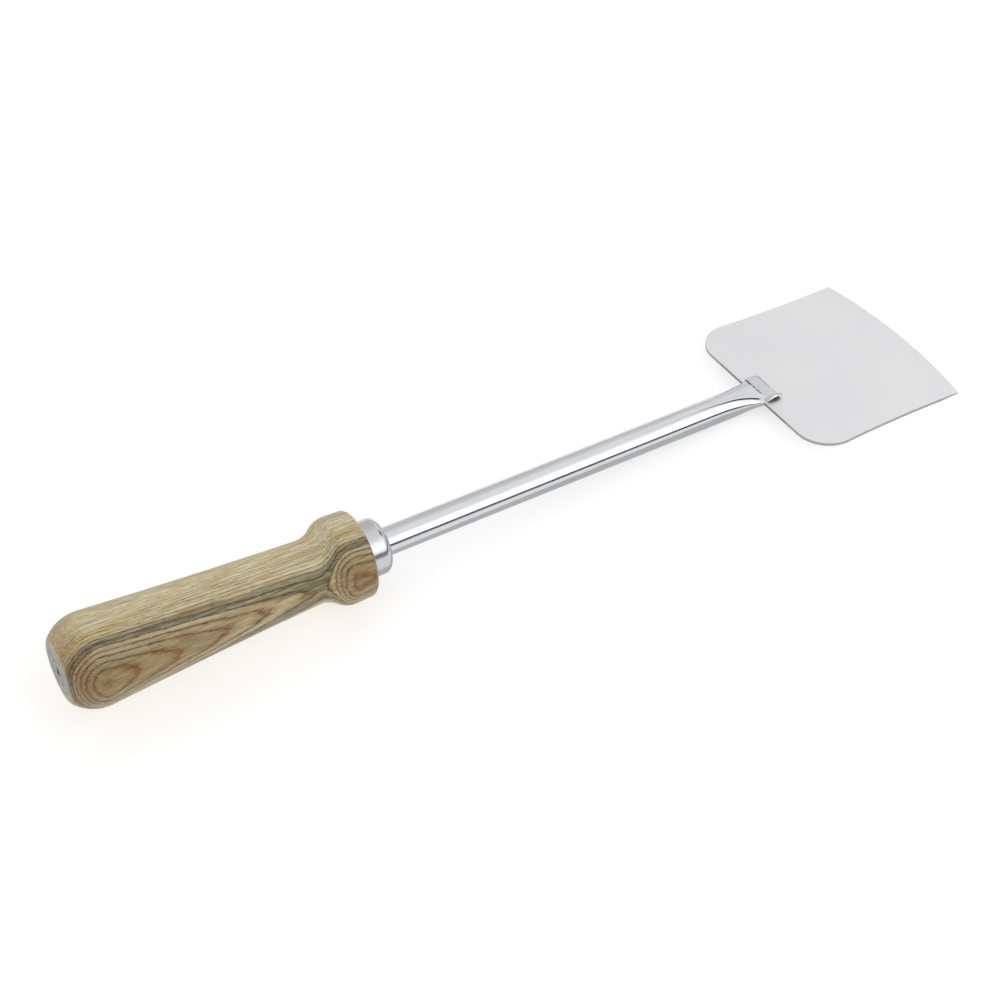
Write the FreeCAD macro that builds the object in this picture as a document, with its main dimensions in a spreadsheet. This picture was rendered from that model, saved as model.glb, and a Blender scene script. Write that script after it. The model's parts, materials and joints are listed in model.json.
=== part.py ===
import FreeCAD, Part
import math
import os
import Sketcher
from FreeCAD import Vector

# Hand-held uncapping knife: a turned wooden handle, a ferrule, a steel tube and a flat blade
# that the flattened end of the tube grips. Lengths are in millimetres.
#
# Tool axes while the pieces are made: X runs along the tube towards the blade, Z is up and
# the handle's front face is at X = 0. One placement at the end lays the whole tool down as it
# rests on a table, on the handle's collar and on the blade, with Z = 0 as the table.

SIZES = {
    # turned handle, measured back from its front face
    "handle_length": 128.3,
    "butt_rim_radius": 12.7,
    "butt_rim_round": 4.0,
    "butt_round": 17.2,
    "swell_back": 113.5,
    "swell_radius": 19.2,
    "taper_hollow": 3100.0,
    "neck_back": 23.5,
    "neck_radius": 13.65,
    "cove_round": 11.5,
    "collar_foot_back": 15.55,
    "collar_foot_radius": 16.33,
    "collar_round": 10.2,
    "collar_back": 8.5,
    "collar_radius": 18.7,
    "collar_front_radius": 18.35,
    "collar_edge_round": 1.8,
    "tenon_radius": 10.95,
    "tenon_length": 9.0,
    "tenon_round": 3.0,
    "socket_radius": 6.2,
    "socket_depth": 52.0,
    "socket_point": 3.5,
    "centre_hole_radius": 1.25,
    "centre_hole_depth": 6.0,
    "centre_hole_point": 1.0,
    # ferrule, a drawn steel cup
    "ferrule_radius": 12.0,
    "ferrule_length": 10.5,
    "ferrule_wall": 1.0,
    "ferrule_shoulder": 3.5,
    "ferrule_inner_round": 2.5,
    "ferrule_hole_radius": 6.05,
    # shank tube, round up to the press and flat in the jaw
    "tube_radius": 6.0,
    "tube_seam_across": 5.5,
    "tube_seam_up": 2.398,
    "tube_wall": 1.0,
    "bore_radius": 5.0,
    "bore_seam_across": 4.583,
    "bore_seam_up": 1.999,
    "tube_round_end": 160.0,
    "jaw_start": 193.0,
    "jaw_end": 204.0,
    "jaw_half_flat": 8.1,
    "jaw_side_round": 1.8,
    "jaw_inner_round": 0.8,
    # blade; its lift is the height of its middle above the tube's axis
    "blade_lift": 0.8,
    "blade_half_thickness": 0.75,
    "blade_back": 196.2,
    "blade_length": 77.4,
    "blade_back_half": 48.0,
    "blade_front_half": 46.0,
    "blade_front_round": 248.2,
    "blade_side_hollow": 580.0,
    "blade_corner": 15.0,
    "bevel_heel": 264.0,
    "bevel_run": 14.5,
    "bevel_rise": 1.25,
    # spot welds through the jaw, each sunk into both jaw walls
    "weld_radius": 2.0,
    "weld_off_centre": 4.0,
    "weld_along": 200.2,
    "weld_sink": 0.5,
}

OVERCUT = 1.0  # how far a cut runs past the face that it opens

doc = FreeCAD.newDocument("uncapping_knife")
sheet = doc.addObject("Spreadsheet::Sheet", "sizes")
for row, (name, size) in enumerate(SIZES.items(), start=1):
    sheet.set(f"A{row}", name)
    sheet.set(f"B{row}", str(size))
    sheet.setAlias(f"B{row}", name)
doc.recompute()


def number(formula):
    """The value of a sum of signed sheet names and numbers, such as 'a + b - 2'."""
    total = 0.0
    sign = 1.0
    for word in formula.split():
        if word in ("+", "-"):
            sign = 1.0 if word == "+" else -1.0
        else:
            total += sign * (SIZES[word] if word in SIZES else float(word))
            sign = 1.0
    return total


def bound(formula):
    """The same sum as an expression on the sheet's cells."""
    words = formula.split()
    return " ".join(f"sizes.{word}" if word in SIZES else word for word in words)


def start_sketch(body, name, role, offset=None):
    """A sketch on one of the body's own origin planes, moved along its normal by a formula."""
    plane = next(item for item in body.Origin.OriginFeatures if item.Role == role)
    sketch = body.newObject("Sketcher::SketchObject", name)
    sketch.AttachmentSupport = [(plane, "")]
    sketch.MapMode = "FlatFace"
    if offset:
        sketch.setExpression("AttachmentOffset.Base.z", bound(offset))
    return sketch


def constrain(sketch, name, constraint, formula):
    """Adds a named constraint whose value follows the sheet."""
    index = sketch.addConstraint(constraint)
    sketch.renameConstraint(index, name)
    sketch.setExpression(f"Constraints.{name}", formula)


def arc_between(start, end, radius):
    """The shorter arc from start to end; a positive radius bows to the left of the way."""
    chord = end - start
    left = Vector(-chord.y, chord.x, 0).normalize()
    sagitta = abs(radius) - math.sqrt(radius ** 2 - (chord.Length / 2) ** 2)
    middle = (start + end) * 0.5 + left * math.copysign(sagitta, radius)
    return Part.Arc(start, middle, end)


def closed_outline(sketch, corners, arcs=None):
    """Draws a closed outline. corners are pairs of formulas. arcs gives, for the side that
    starts at a corner, the radius as a sheet name and the side to which the arc bows."""
    arcs = arcs or {}
    points = [Vector(number(x), number(y), 0) for x, y in corners]
    count = len(points)
    heads = []
    tails = []
    for index, point in enumerate(points):
        following = points[(index + 1) % count]
        if index not in arcs:
            sketch.addGeometry(Part.LineSegment(point, following))
            heads.append(1)
            tails.append(2)
            continue
        radius, bow = arcs[index]
        curve = arc_between(point, following, bow * number(radius))
        shape = sketch.addGeometry(curve)
        starts_here = sketch.getPoint(shape, 1).distanceToPoint(point) < 1e-6
        heads.append(1 if starts_here else 2)
        tails.append(2 if starts_here else 1)
        constrain(sketch, f"arc_{index}", Sketcher.Constraint("Radius", shape, number(radius)),
                  bound(radius))
    for index in range(count):
        following = (index + 1) % count
        sketch.addConstraint(Sketcher.Constraint(
            "Coincident", index, tails[index], following, heads[following]))
    for index, (x, y) in enumerate(corners):
        spot = (index, heads[index])
        constrain(sketch, f"across_{index}",
                  Sketcher.Constraint("DistanceX", -1, 1, *spot, number(x)), bound(x))
        constrain(sketch, f"up_{index}",
                  Sketcher.Constraint("DistanceY", -1, 1, *spot, number(y)), bound(y))


def spots(sketch, radius, centres):
    """Draws circles of one radius at the given centres, which are pairs of formulas."""
    for index, (x, y) in enumerate(centres):
        centre = Vector(number(x), number(y), 0)
        sketch.addGeometry(Part.Circle(centre, Vector(0, 0, 1), number(radius)))
        constrain(sketch, f"radius_{index}",
                  Sketcher.Constraint("Radius", index, number(radius)), bound(radius))
        constrain(sketch, f"across_{index}",
                  Sketcher.Constraint("DistanceX", -1, 1, index, 3, number(x)), bound(x))
        constrain(sketch, f"up_{index}",
                  Sketcher.Constraint("DistanceY", -1, 1, index, 3, number(y)), bound(y))


def new_body(name):
    body = doc.addObject("PartDesign::Body", name)
    body.Label = name
    return body


def turned(body, name, kind, sketch):
    """A Revolution or a Groove of a sketch, all the way round the tool's axis."""
    feature = body.newObject(f"PartDesign::{kind}", name)
    feature.Profile = sketch
    feature.ReferenceAxis = (sketch, ["H_Axis"])
    feature.Angle = 360.0
    doc.recompute()
    return feature


def straight(body, name, kind, sketch, length, reverse=False):
    """A Pad or a Pocket of a sketch, with its length as a formula."""
    feature = body.newObject(f"PartDesign::{kind}", name)
    feature.Profile = sketch
    feature.Reversed = reverse
    feature.setExpression("Length", bound(length))
    doc.recompute()
    return feature


def must_shrink(body, volume_before):
    """Checks that a cut removed something, and returns the new volume."""
    doc.recompute()
    if body.Shape.Volume >= volume_before - 1e-3:
        raise ValueError(f"{body.Tip.Label} in {body.Label} removes nothing")
    return body.Shape.Volume


def circle_edges(shape, x, radius):
    """Names of the circular edges round the tool's axis at one place and radius."""
    found = []
    for index, edge in enumerate(shape.Edges, start=1):
        curve = edge.Curve
        if not isinstance(curve, Part.Circle):
            continue
        if abs(curve.Center.x - x) < 1e-3 and abs(curve.Radius - radius) < 1e-3:
            found.append(f"Edge{index}")
    if not found:
        raise ValueError(f"no round edge at {x} with radius {radius}")
    return found


def upright_edges(shape, x, y):
    """Names of the edges that stand upright at one place, on both sides of the tool."""
    found = []
    for index, edge in enumerate(shape.Edges, start=1):
        middle = edge.CenterOfMass
        flat = edge.BoundBox.XLength + edge.BoundBox.YLength
        if flat < 1e-3 and abs(middle.x - x) < 1e-3 and abs(abs(middle.y) - y) < 1e-3:
            found.append(f"Edge{index}")
    if not found:
        raise ValueError(f"no upright edge at {x}, {y}")
    return found


def rounded(body, name, base, edges, radius):
    """A Fillet of named edges, with its radius as a sheet name."""
    feature = body.newObject("PartDesign::Fillet", name)
    feature.Base = (base, edges)
    feature.setExpression("Radius", bound(radius))
    doc.recompute()
    return feature


def make_handle():
    """Turned handle: butt, taper, neck, collar and the tenon that the ferrule fits over."""
    body = new_body("handle")
    profile = start_sketch(body, "handle_profile", "XZ_Plane")
    closed_outline(profile, [
        ("- handle_length", "0"),
        ("- handle_length", "butt_rim_radius"),
        ("- swell_back", "swell_radius"),
        ("- neck_back", "neck_radius"),
        ("- collar_foot_back", "collar_foot_radius"),
        ("- collar_back", "collar_radius"),
        ("0", "collar_front_radius"),
        ("0", "tenon_radius"),
        ("tenon_length", "tenon_radius"),
        ("tenon_length", "0"),
    ], {1: ("butt_round", 1), 2: ("taper_hollow", -1), 3: ("cove_round", -1),
        4: ("collar_round", 1)})
    solid = turned(body, "handle_turned", "Revolution", profile)
    edges = circle_edges(solid.Shape, -SIZES["handle_length"], SIZES["butt_rim_radius"])
    solid = rounded(body, "butt_rim", solid, edges, "butt_rim_round")
    edges = circle_edges(solid.Shape, 0, SIZES["collar_front_radius"])
    solid = rounded(body, "collar_edge", solid, edges, "collar_edge_round")
    edges = circle_edges(solid.Shape, SIZES["tenon_length"], SIZES["tenon_radius"])
    rounded(body, "tenon_edge", solid, edges, "tenon_round")
    volume = body.Shape.Volume

    socket = start_sketch(body, "socket_profile", "XZ_Plane")
    mouth = f"tenon_length + {OVERCUT}"
    closed_outline(socket, [
        ("- socket_depth - socket_point", "0"),
        ("- socket_depth", "socket_radius"),
        (mouth, "socket_radius"),
        (mouth, "0"),
    ])
    turned(body, "socket", "Groove", socket)
    volume = must_shrink(body, volume)

    centre = start_sketch(body, "centre_hole_profile", "XZ_Plane")
    closed_outline(centre, [
        (f"- handle_length - {OVERCUT}", "0"),
        (f"- handle_length - {OVERCUT}", "centre_hole_radius"),
        ("- handle_length + centre_hole_depth", "centre_hole_radius"),
        ("- handle_length + centre_hole_depth + centre_hole_point", "0"),
    ])
    turned(body, "centre_hole", "Groove", centre)
    must_shrink(body, volume)
    return body


def make_ferrule():
    """Drawn cup over the tenon, with a hole in its end for the tube."""
    body = new_body("ferrule")
    profile = start_sketch(body, "ferrule_profile", "XZ_Plane")
    inside = "ferrule_length - ferrule_wall"
    closed_outline(profile, [
        ("0", "ferrule_radius"),
        ("ferrule_length", "ferrule_radius"),
        ("ferrule_length", "ferrule_hole_radius"),
        (inside, "ferrule_hole_radius"),
        (inside, "ferrule_radius - ferrule_wall"),
        ("0", "ferrule_radius - ferrule_wall"),
    ])
    solid = turned(body, "ferrule_turned", "Revolution", profile)
    edges = circle_edges(solid.Shape, SIZES["ferrule_length"], SIZES["ferrule_radius"])
    solid = rounded(body, "shoulder", solid, edges, "ferrule_shoulder")
    edges = circle_edges(solid.Shape, number(inside), number("ferrule_radius - ferrule_wall"))
    rounded(body, "inner_corner", solid, edges, "ferrule_inner_round")
    return body


def tube_section(body, name, at, across, up, side, lift=None):
    """A section of the tube: four corners, joined by arcs, or by arcs only at its two sides
    once the tube is flat. lift is the height of the flat section's middle."""
    sketch = start_sketch(body, name, "YZ_Plane", at)
    raise_by = f"{lift} " if lift else ""
    low = f"{raise_by}" + " ".join(f"- {word}" for word in up.split(" + "))
    high = f"{raise_by}+ {up}" if lift else up
    curved = {1: (side, -1), 3: (side, -1)}
    if not lift:
        curved.update({0: (side, -1), 2: (side, -1)})
    closed_outline(sketch, [
        (f"- {across}", low),
        (across, low),
        (across, high),
        (f"- {across}", high),
    ], curved)
    return sketch


def loft(body, name, kind, first, last):
    feature = body.newObject(f"PartDesign::{kind}", name)
    feature.Profile = first
    feature.Sections = [last]
    doc.recompute()
    return feature


def weld_centres():
    return [("weld_along", "- weld_off_centre"), ("weld_along", "weld_off_centre")]


WELD_FOOT = "blade_lift - blade_half_thickness - weld_sink"
WELD_HEIGHT = "blade_half_thickness + blade_half_thickness + weld_sink + weld_sink"
BLADE_UNDERSIDE = "blade_lift - blade_half_thickness"
BLADE_TOP = "blade_lift + blade_half_thickness"


def make_shank_tube():
    """Steel tube, round from inside the handle, pressed flat at its end into a slit jaw."""
    body = new_body("shank_tube")
    outer_half = "blade_half_thickness + tube_wall"
    round_length = "socket_depth + tube_round_end"
    jaw_length = "jaw_end - jaw_start"

    ring = start_sketch(body, "tube_ring", "YZ_Plane", "- socket_depth")
    spots(ring, "tube_radius", [("0", "0")])
    straight(body, "tube_outside", "Pad", ring, round_length)
    near = tube_section(body, "press_start", "tube_round_end", "tube_seam_across",
                        "tube_seam_up", "tube_radius")
    far = tube_section(body, "press_end", "jaw_start", "jaw_half_flat", outer_half,
                       "jaw_side_round", "blade_lift")
    loft(body, "press_outside", "AdditiveLoft", near, far)
    flat = tube_section(body, "jaw_outline", "jaw_start", "jaw_half_flat", outer_half,
                        "jaw_side_round", "blade_lift")
    straight(body, "jaw_outside", "Pad", flat, jaw_length)
    volume = body.Shape.Volume

    bore = start_sketch(body, "bore_ring", "YZ_Plane", "- socket_depth")
    spots(bore, "bore_radius", [("0", "0")])
    straight(body, "bore", "Pocket", bore, round_length, reverse=True)
    volume = must_shrink(body, volume)
    near = tube_section(body, "bore_press_start", "tube_round_end", "bore_seam_across",
                        "bore_seam_up", "bore_radius")
    far = tube_section(body, "bore_press_end", "jaw_start", "jaw_half_flat",
                       "blade_half_thickness", "jaw_inner_round", "blade_lift")
    loft(body, "press_inside", "SubtractiveLoft", near, far)
    volume = must_shrink(body, volume)
    slit = tube_section(body, "jaw_mouth", "jaw_start", "jaw_half_flat",
                        "blade_half_thickness", "jaw_inner_round", "blade_lift")
    straight(body, "jaw_inside", "Pocket", slit, f"{jaw_length} + {OVERCUT}", reverse=True)
    volume = must_shrink(body, volume)

    # The blade is wider than the jaw, so both folded sides are slit to let it through.
    clear = f"jaw_half_flat + {outer_half} + {OVERCUT}"
    slot = start_sketch(body, "slot_outline", "XZ_Plane", clear)
    closed_outline(slot, [
        ("blade_back", BLADE_UNDERSIDE),
        (f"jaw_end + {OVERCUT}", BLADE_UNDERSIDE),
        (f"jaw_end + {OVERCUT}", BLADE_TOP),
        ("blade_back", BLADE_TOP),
    ])
    straight(body, "side_slots", "Pocket", slot, f"{clear} + {clear}")
    volume = must_shrink(body, volume)

    recess = start_sketch(body, "weld_recess_outline", "XY_Plane", WELD_FOOT)
    spots(recess, "weld_radius", weld_centres())
    straight(body, "weld_recesses", "Pocket", recess, WELD_HEIGHT, reverse=True)
    must_shrink(body, volume)
    return body


def make_blade():
    """Flat plate: rounded at the back, a bowed cutting edge at the front, bevelled below."""
    body = new_body("blade")
    front = "blade_back + blade_length"
    outline = start_sketch(body, "blade_outline", "XY_Plane", BLADE_UNDERSIDE)
    closed_outline(outline, [
        ("blade_back", "- blade_back_half"),
        (front, "- blade_front_half"),
        (front, "blade_front_half"),
        ("blade_back", "blade_back_half"),
    ], {0: ("blade_side_hollow", 1), 1: ("blade_front_round", -1),
        2: ("blade_side_hollow", 1)})
    plate = straight(body, "plate", "Pad", outline,
                     "blade_half_thickness + blade_half_thickness")
    edges = upright_edges(plate.Shape, SIZES["blade_back"], SIZES["blade_back_half"])
    rounded(body, "back_corners", plate, edges, "blade_corner")
    volume = body.Shape.Volume

    # A flat grind from below, with a straight heel across the whole blade.
    clear = f"blade_back_half + {OVERCUT}"
    grind = start_sketch(body, "bevel_outline", "XZ_Plane", clear)
    closed_outline(grind, [
        ("bevel_heel", BLADE_UNDERSIDE),
        ("bevel_heel + bevel_run", BLADE_UNDERSIDE),
        ("bevel_heel + bevel_run", f"{BLADE_UNDERSIDE} + bevel_rise"),
    ])
    straight(body, "bevel", "Pocket", grind, f"{clear} + {clear}")
    volume = must_shrink(body, volume)

    holes = start_sketch(body, "weld_hole_outline", "XY_Plane", WELD_FOOT)
    spots(holes, "weld_radius", weld_centres())
    straight(body, "weld_holes", "Pocket", holes, WELD_HEIGHT, reverse=True)
    must_shrink(body, volume)
    return body


def rod(name, radius, height, base, along_tool):
    """A Part cylinder that stands up, or lies along the tool."""
    cylinder = doc.addObject("Part::Cylinder", name)
    if along_tool:
        cylinder.Placement = FreeCAD.Placement(
            Vector(0, 0, 0), FreeCAD.Rotation(Vector(0, 1, 0), 90))
    cylinder.setExpression("Radius", bound(radius))
    cylinder.setExpression("Height", bound(height))
    for axis, formula in zip("xyz", base):
        cylinder.setExpression(f"Placement.Base.{axis}", bound(formula))
    return cylinder


def make_socket_adhesive():
    """Hardened adhesive between the tube and the wall of the handle's socket."""
    base = ("- socket_depth", "0", "0")
    sleeve = doc.addObject("Part::Cut", "socket_adhesive")
    sleeve.Label = "socket_adhesive"
    sleeve.Base = rod("adhesive_outside", "socket_radius", "socket_depth", base, True)
    sleeve.Tool = rod("adhesive_inside", "tube_radius", "socket_depth", base, True)
    return sleeve


def make_jaw_welds():
    """Two weld nuggets that hold the blade between the jaw's walls."""
    nuggets = []
    for index, (along, across) in enumerate(weld_centres()):
        base = (along, across, WELD_FOOT)
        nuggets.append(rod(f"nugget_{index}", "weld_radius", WELD_HEIGHT, base, False))
    welds = doc.addObject("Part::MultiFuse", "jaw_welds")
    welds.Label = "jaw_welds"
    welds.Shapes = nuggets
    return welds


def resting_angle():
    """Nose-down angle in degrees at which the collar's round edge and the heel of the blade's
    bevel both touch the table."""
    round_edge = SIZES["collar_edge_round"]
    slope = number("collar_radius - collar_front_radius") / SIZES["collar_back"]
    centre = SIZES["collar_front_radius"] + slope * round_edge - math.hypot(1, slope) * round_edge
    along = SIZES["bevel_heel"] + round_edge
    across = centre + number(BLADE_UNDERSIDE)
    return math.degrees(math.asin(round_edge / math.hypot(along, across))
                        + math.atan2(across, along))


def lay_down(pieces):
    """Gives every piece the placement of the resting tool, its box centred over the origin."""
    turn = FreeCAD.Rotation(Vector(0, 1, 0), resting_angle())
    for piece in pieces:
        piece.Placement = FreeCAD.Placement(Vector(0, 0, 0), turn)
    doc.recompute()
    box = FreeCAD.BoundBox()
    for piece in pieces:
        box.add(piece.Shape.optimalBoundingBox(False, False))
    base = Vector(-box.Center.x, -box.Center.y, -box.ZMin)
    for piece in pieces:
        piece.Placement = FreeCAD.Placement(base, turn)
    doc.recompute()


def check(pieces):
    for item in doc.Objects:
        if "Invalid" in item.State or "Error" in item.State:
            raise ValueError(f"{item.Label} failed: {item.State}")
    for piece in pieces:
        if piece.Shape.isNull() or not piece.Shape.isValid() or not piece.Shape.Solids:
            raise ValueError(f"{piece.Label} has no valid solid")


def main():
    pieces = [
        make_handle(),
        make_ferrule(),
        make_socket_adhesive(),
        make_shank_tube(),
        make_jaw_welds(),
        make_blade(),
    ]
    doc.recompute()
    lay_down(pieces)
    check(pieces)
    os.makedirs("parts", exist_ok=True)
    for piece in pieces:
        piece.Shape.exportStep(f"parts/{piece.Label}.step")
        box = piece.Shape.optimalBoundingBox(False, False)
        print(f"{piece.Label}: {piece.Shape.Volume:.0f} mm3,",
              f"x {box.XMin:.2f} to {box.XMax:.2f},",
              f"y {box.YMin:.2f} to {box.YMax:.2f},",
              f"z {box.ZMin:.2f} to {box.ZMax:.2f}")
    print(f"nose-down angle {resting_angle():.3f}")


main()
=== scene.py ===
import json
import math

import bmesh
import bpy
from mathutils import Matrix, Vector


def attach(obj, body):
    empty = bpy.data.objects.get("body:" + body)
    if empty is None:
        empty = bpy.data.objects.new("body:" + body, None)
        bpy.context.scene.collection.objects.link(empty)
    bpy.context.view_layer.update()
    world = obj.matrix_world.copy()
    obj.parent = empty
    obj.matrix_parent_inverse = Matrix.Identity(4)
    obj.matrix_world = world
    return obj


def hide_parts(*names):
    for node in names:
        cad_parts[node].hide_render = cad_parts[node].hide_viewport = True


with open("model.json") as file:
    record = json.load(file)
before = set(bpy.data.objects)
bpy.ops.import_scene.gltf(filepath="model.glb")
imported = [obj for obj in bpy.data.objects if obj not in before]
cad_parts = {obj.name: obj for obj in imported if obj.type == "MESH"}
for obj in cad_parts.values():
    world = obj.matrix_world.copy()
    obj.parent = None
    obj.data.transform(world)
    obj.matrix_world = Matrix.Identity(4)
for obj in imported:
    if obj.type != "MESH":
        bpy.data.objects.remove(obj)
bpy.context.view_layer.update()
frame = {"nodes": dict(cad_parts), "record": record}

bl_info = {
    "name": "Uncapping knife",
    "version": (1, 0, 0),
    "blender": (4, 5, 0),
    "location": "3D View > Sidebar > Uncapping knife",
    "description": "Builds the turned handle, ferrule, flattened tube and blade round the packed frame",
    "category": "Object",
}

MM = 0.001
BUTT_MOUNT_RISE = 6.0     # the butt mount's point lies this far above the tool's axis, mm
HANDLE_LENGTH = 128.3     # butt face to the handle's front face, mm
SOCKET_DEPTH = 52         # the tube goes this far into the handle, mm
BLADE_LIFT = 0.8          # the middle of the blade lies this far above the tube's axis, mm


def tool_frame():
    """The tool's own axes: X runs from the handle's front face to the blade, Z up off the blade's face."""
    mount = next(m for m in frame["record"]["mounts"] if m["name"] == "butt_face")
    along = -Vector(mount["axis"]).normalized()
    side = Vector((0, 1, 0))
    up = along.cross(side)
    start = Vector(mount["pos_m"]) - up * BUTT_MOUNT_RISE * MM + along * HANDLE_LENGTH * MM
    turn = Matrix((along, side, up)).transposed().to_4x4()
    return Matrix.Translation(start) @ turn


TOOL = tool_frame()


def linear(red, green, blue):
    """A display colour, 0 to 255 a channel, as the linear colour that Blender works in."""
    def one(value):
        share = value / 255
        return share / 12.92 if share <= 0.04045 else ((share + 0.055) / 1.055) ** 2.4
    return (one(red), one(green), one(blue))


def smooth(low, high, value):
    """0 below low, 1 above high, and an even S between them; low may be the larger."""
    share = min(1.0, max(0.0, (value - low) / (high - low)))
    return share * share * (3 - 2 * share)


class Wire:
    """One socket of a node tree. Arithmetic on it adds the Math nodes that work it out."""

    def __init__(self, tree, socket=None):
        self.tree = tree
        self.socket = socket

    def node(self, kind, settings=None, values=None, output=0):
        """Adds a node: its settings first, then its sockets' values or links, and gives back one output."""
        made = self.tree.nodes.new(kind)
        for name, value in (settings or {}).items():
            if name == "stops":
                ramp = made.color_ramp
                while len(ramp.elements) < len(value):
                    ramp.elements.new(0.5)
                for element, (position, colour) in zip(ramp.elements, value):
                    element.position = position
                    element.color = (*colour, 1)
            else:
                setattr(made, name, value)
        for name, value in (values or {}).items():
            if isinstance(value, Wire):
                self.tree.links.new(value.socket, made.inputs[name])
            else:
                made.inputs[name].default_value = value
        return Wire(self.tree, made.outputs[output])

    def maths(self, operation, *values):
        """One Math node's answer for these numbers or wires."""
        return self.node("ShaderNodeMath", {"operation": operation}, dict(enumerate(values)))

    def __add__(self, other):
        return self.maths("ADD", self, other)

    __radd__ = __add__

    def __sub__(self, other):
        return self.maths("SUBTRACT", self, other)

    def __rsub__(self, other):
        return self.maths("SUBTRACT", other, self)

    def __mul__(self, other):
        return self.maths("MULTIPLY", self, other)

    __rmul__ = __mul__

    def __truediv__(self, other):
        return self.maths("DIVIDE", self, other)

    def step(self, low, high):
        """0 at low and 1 at high with an even S between; low may be the larger."""
        if low > high:
            return 1 - self.step(high, low)
        return self.node("ShaderNodeMapRange", {"interpolation_type": "SMOOTHSTEP"},
                         {"Value": self, "From Min": low, "From Max": high})

    def mix(self, below, above, blend="MIX"):
        """Colour below where this wire is 0 and above where it is 1."""
        colours = [c if isinstance(c, Wire) else (*c, 1) for c in (below, above)]
        return self.node("ShaderNodeMix", {"data_type": "RGBA", "blend_type": blend},
                         {0: self, 6: colours[0], 7: colours[1]}, 2)

    def noise(self, x, y, z, detail=2.0, roughness=0.5):
        """Cloudy noise, 0 to 1, at a place that is already scaled."""
        place = self.node("ShaderNodeCombineXYZ", None, {"X": x, "Y": y, "Z": z})
        return self.node("ShaderNodeTexNoise", {"noise_dimensions": "3D"},
                         {"Vector": place, "Scale": 1.0, "Detail": detail, "Roughness": roughness})


class Finish:
    """A material with its surface shader, and the tool's own X, Y and Z in millimetres as wires."""

    def __init__(self, name, **constants):
        self.material = bpy.data.materials.new(name)
        self.material.use_nodes = True
        tree = self.material.node_tree
        self.surface = tree.nodes["Principled BSDF"]
        self.graph = Wire(tree)
        for socket, value in constants.items():
            self.surface.inputs[socket.replace("_", " ")].default_value = value
        place = self.graph.node("ShaderNodeTexCoord", output="Object")
        place = self.graph.node("ShaderNodeMapping", {"vector_type": "TEXTURE"}, {
            "Vector": place, "Location": TOOL.to_translation(), "Rotation": TOOL.to_euler(),
            "Scale": (MM, MM, MM)})
        self.x, self.y, self.z = (
            self.graph.node("ShaderNodeSeparateXYZ", None, {"Vector": place}, axis) for axis in "XYZ")

    def feed(self, socket, wire):
        """Lets a wire drive one socket of the surface shader."""
        self.graph.tree.links.new(wire.socket, self.surface.inputs[socket])

    def bump(self, height, distance):
        """Height 0 to 1 raises the surface by up to distance, in millimetres."""
        self.feed("Normal", self.graph.node("ShaderNodeBump", None, {
            "Height": height, "Distance": distance * MM}))


# ---------------------------------------------------------------- sizes and colours


class HandleLook(bpy.types.PropertyGroup):
    """The turned wooden handle."""
    swell_radius: bpy.props.FloatProperty(
        name="Swell radius", description="Radius at the fattest place near the butt, mm", default=19.2)
    neck_radius: bpy.props.FloatProperty(
        name="Neck radius", description="Radius at the narrow place behind the collar, mm", default=13.65)
    collar_radius: bpy.props.FloatProperty(
        name="Collar radius", description="Radius at the top of the collar, mm", default=18.7)
    ring_gap: bpy.props.FloatProperty(
        name="Ring gap", description="Thickness of one year's growth, mm", default=1.15)
    line_colour: bpy.props.FloatVectorProperty(
        name="Growth line", description="Colour of the growth lines where they run flat", subtype="COLOR",
        default=linear(66, 50, 24))
    warm_colour: bpy.props.FloatVectorProperty(
        name="Arch tips", description="Colour of the growth lines at the tips of the arches", subtype="COLOR",
        default=linear(128, 80, 10))
    stain_colour: bpy.props.FloatVectorProperty(
        name="Stain", description="Colour of the grey-green streak", subtype="COLOR",
        default=linear(74, 74, 54))


class FerruleLook(bpy.types.PropertyGroup):
    """The steel cap on the handle's front."""
    radius: bpy.props.FloatProperty(name="Radius", description="Outside radius, mm", default=12.0)
    length: bpy.props.FloatProperty(name="Length", description="Length along the tube, mm", default=10.5)
    shoulder: bpy.props.FloatProperty(
        name="Shoulder", description="Radius of the rounded front shoulder, mm", default=3.5)
    colour: bpy.props.FloatVectorProperty(
        name="Steel", description="Colour of the turned steel", subtype="COLOR", default=(0.60, 0.61, 0.63))


class TubeLook(bpy.types.PropertyGroup):
    """The chromed tube with its flattened jaw."""
    radius: bpy.props.FloatProperty(name="Radius", description="Outside radius where round, mm", default=6.0)
    wall: bpy.props.FloatProperty(name="Wall", description="Thickness of the wall, mm", default=1.0)
    flat_start: bpy.props.FloatProperty(
        name="Flattening starts", description="Where the round tube begins to flatten, mm", default=155.0)
    crease: bpy.props.FloatProperty(
        name="Crease", description="Where the slope meets the flat jaw, mm", default=198.0)
    end: bpy.props.FloatProperty(name="End", description="Front end of the jaw, mm", default=204.0)
    jaw_half_width: bpy.props.FloatProperty(
        name="Jaw half width", description="Half the width of the flattened jaw, mm", default=9.48)
    jaw_half_height: bpy.props.FloatProperty(
        name="Jaw half height", description="Half the height of the flattened jaw, mm", default=1.75)
    colour: bpy.props.FloatVectorProperty(
        name="Chrome", description="Colour of the chrome", subtype="COLOR", default=(0.66, 0.67, 0.69))


class BladeLook(bpy.types.PropertyGroup):
    """The flat blade."""
    back: bpy.props.FloatProperty(
        name="Back edge", description="Where the back edge lies, mm", default=196.2)
    corner: bpy.props.FloatProperty(
        name="Front corners", description="Where the front corners lie, mm", default=273.6)
    thickness: bpy.props.FloatProperty(
        name="Thickness", description="Thickness of the plate, mm", default=1.5)
    edge_break: bpy.props.FloatProperty(
        name="Edge break", description="Width of the broken edges, mm", default=0.1)
    colour: bpy.props.FloatVectorProperty(
        name="Steel", description="Colour of the satin steel", subtype="COLOR", default=(0.85, 0.85, 0.86))


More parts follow.
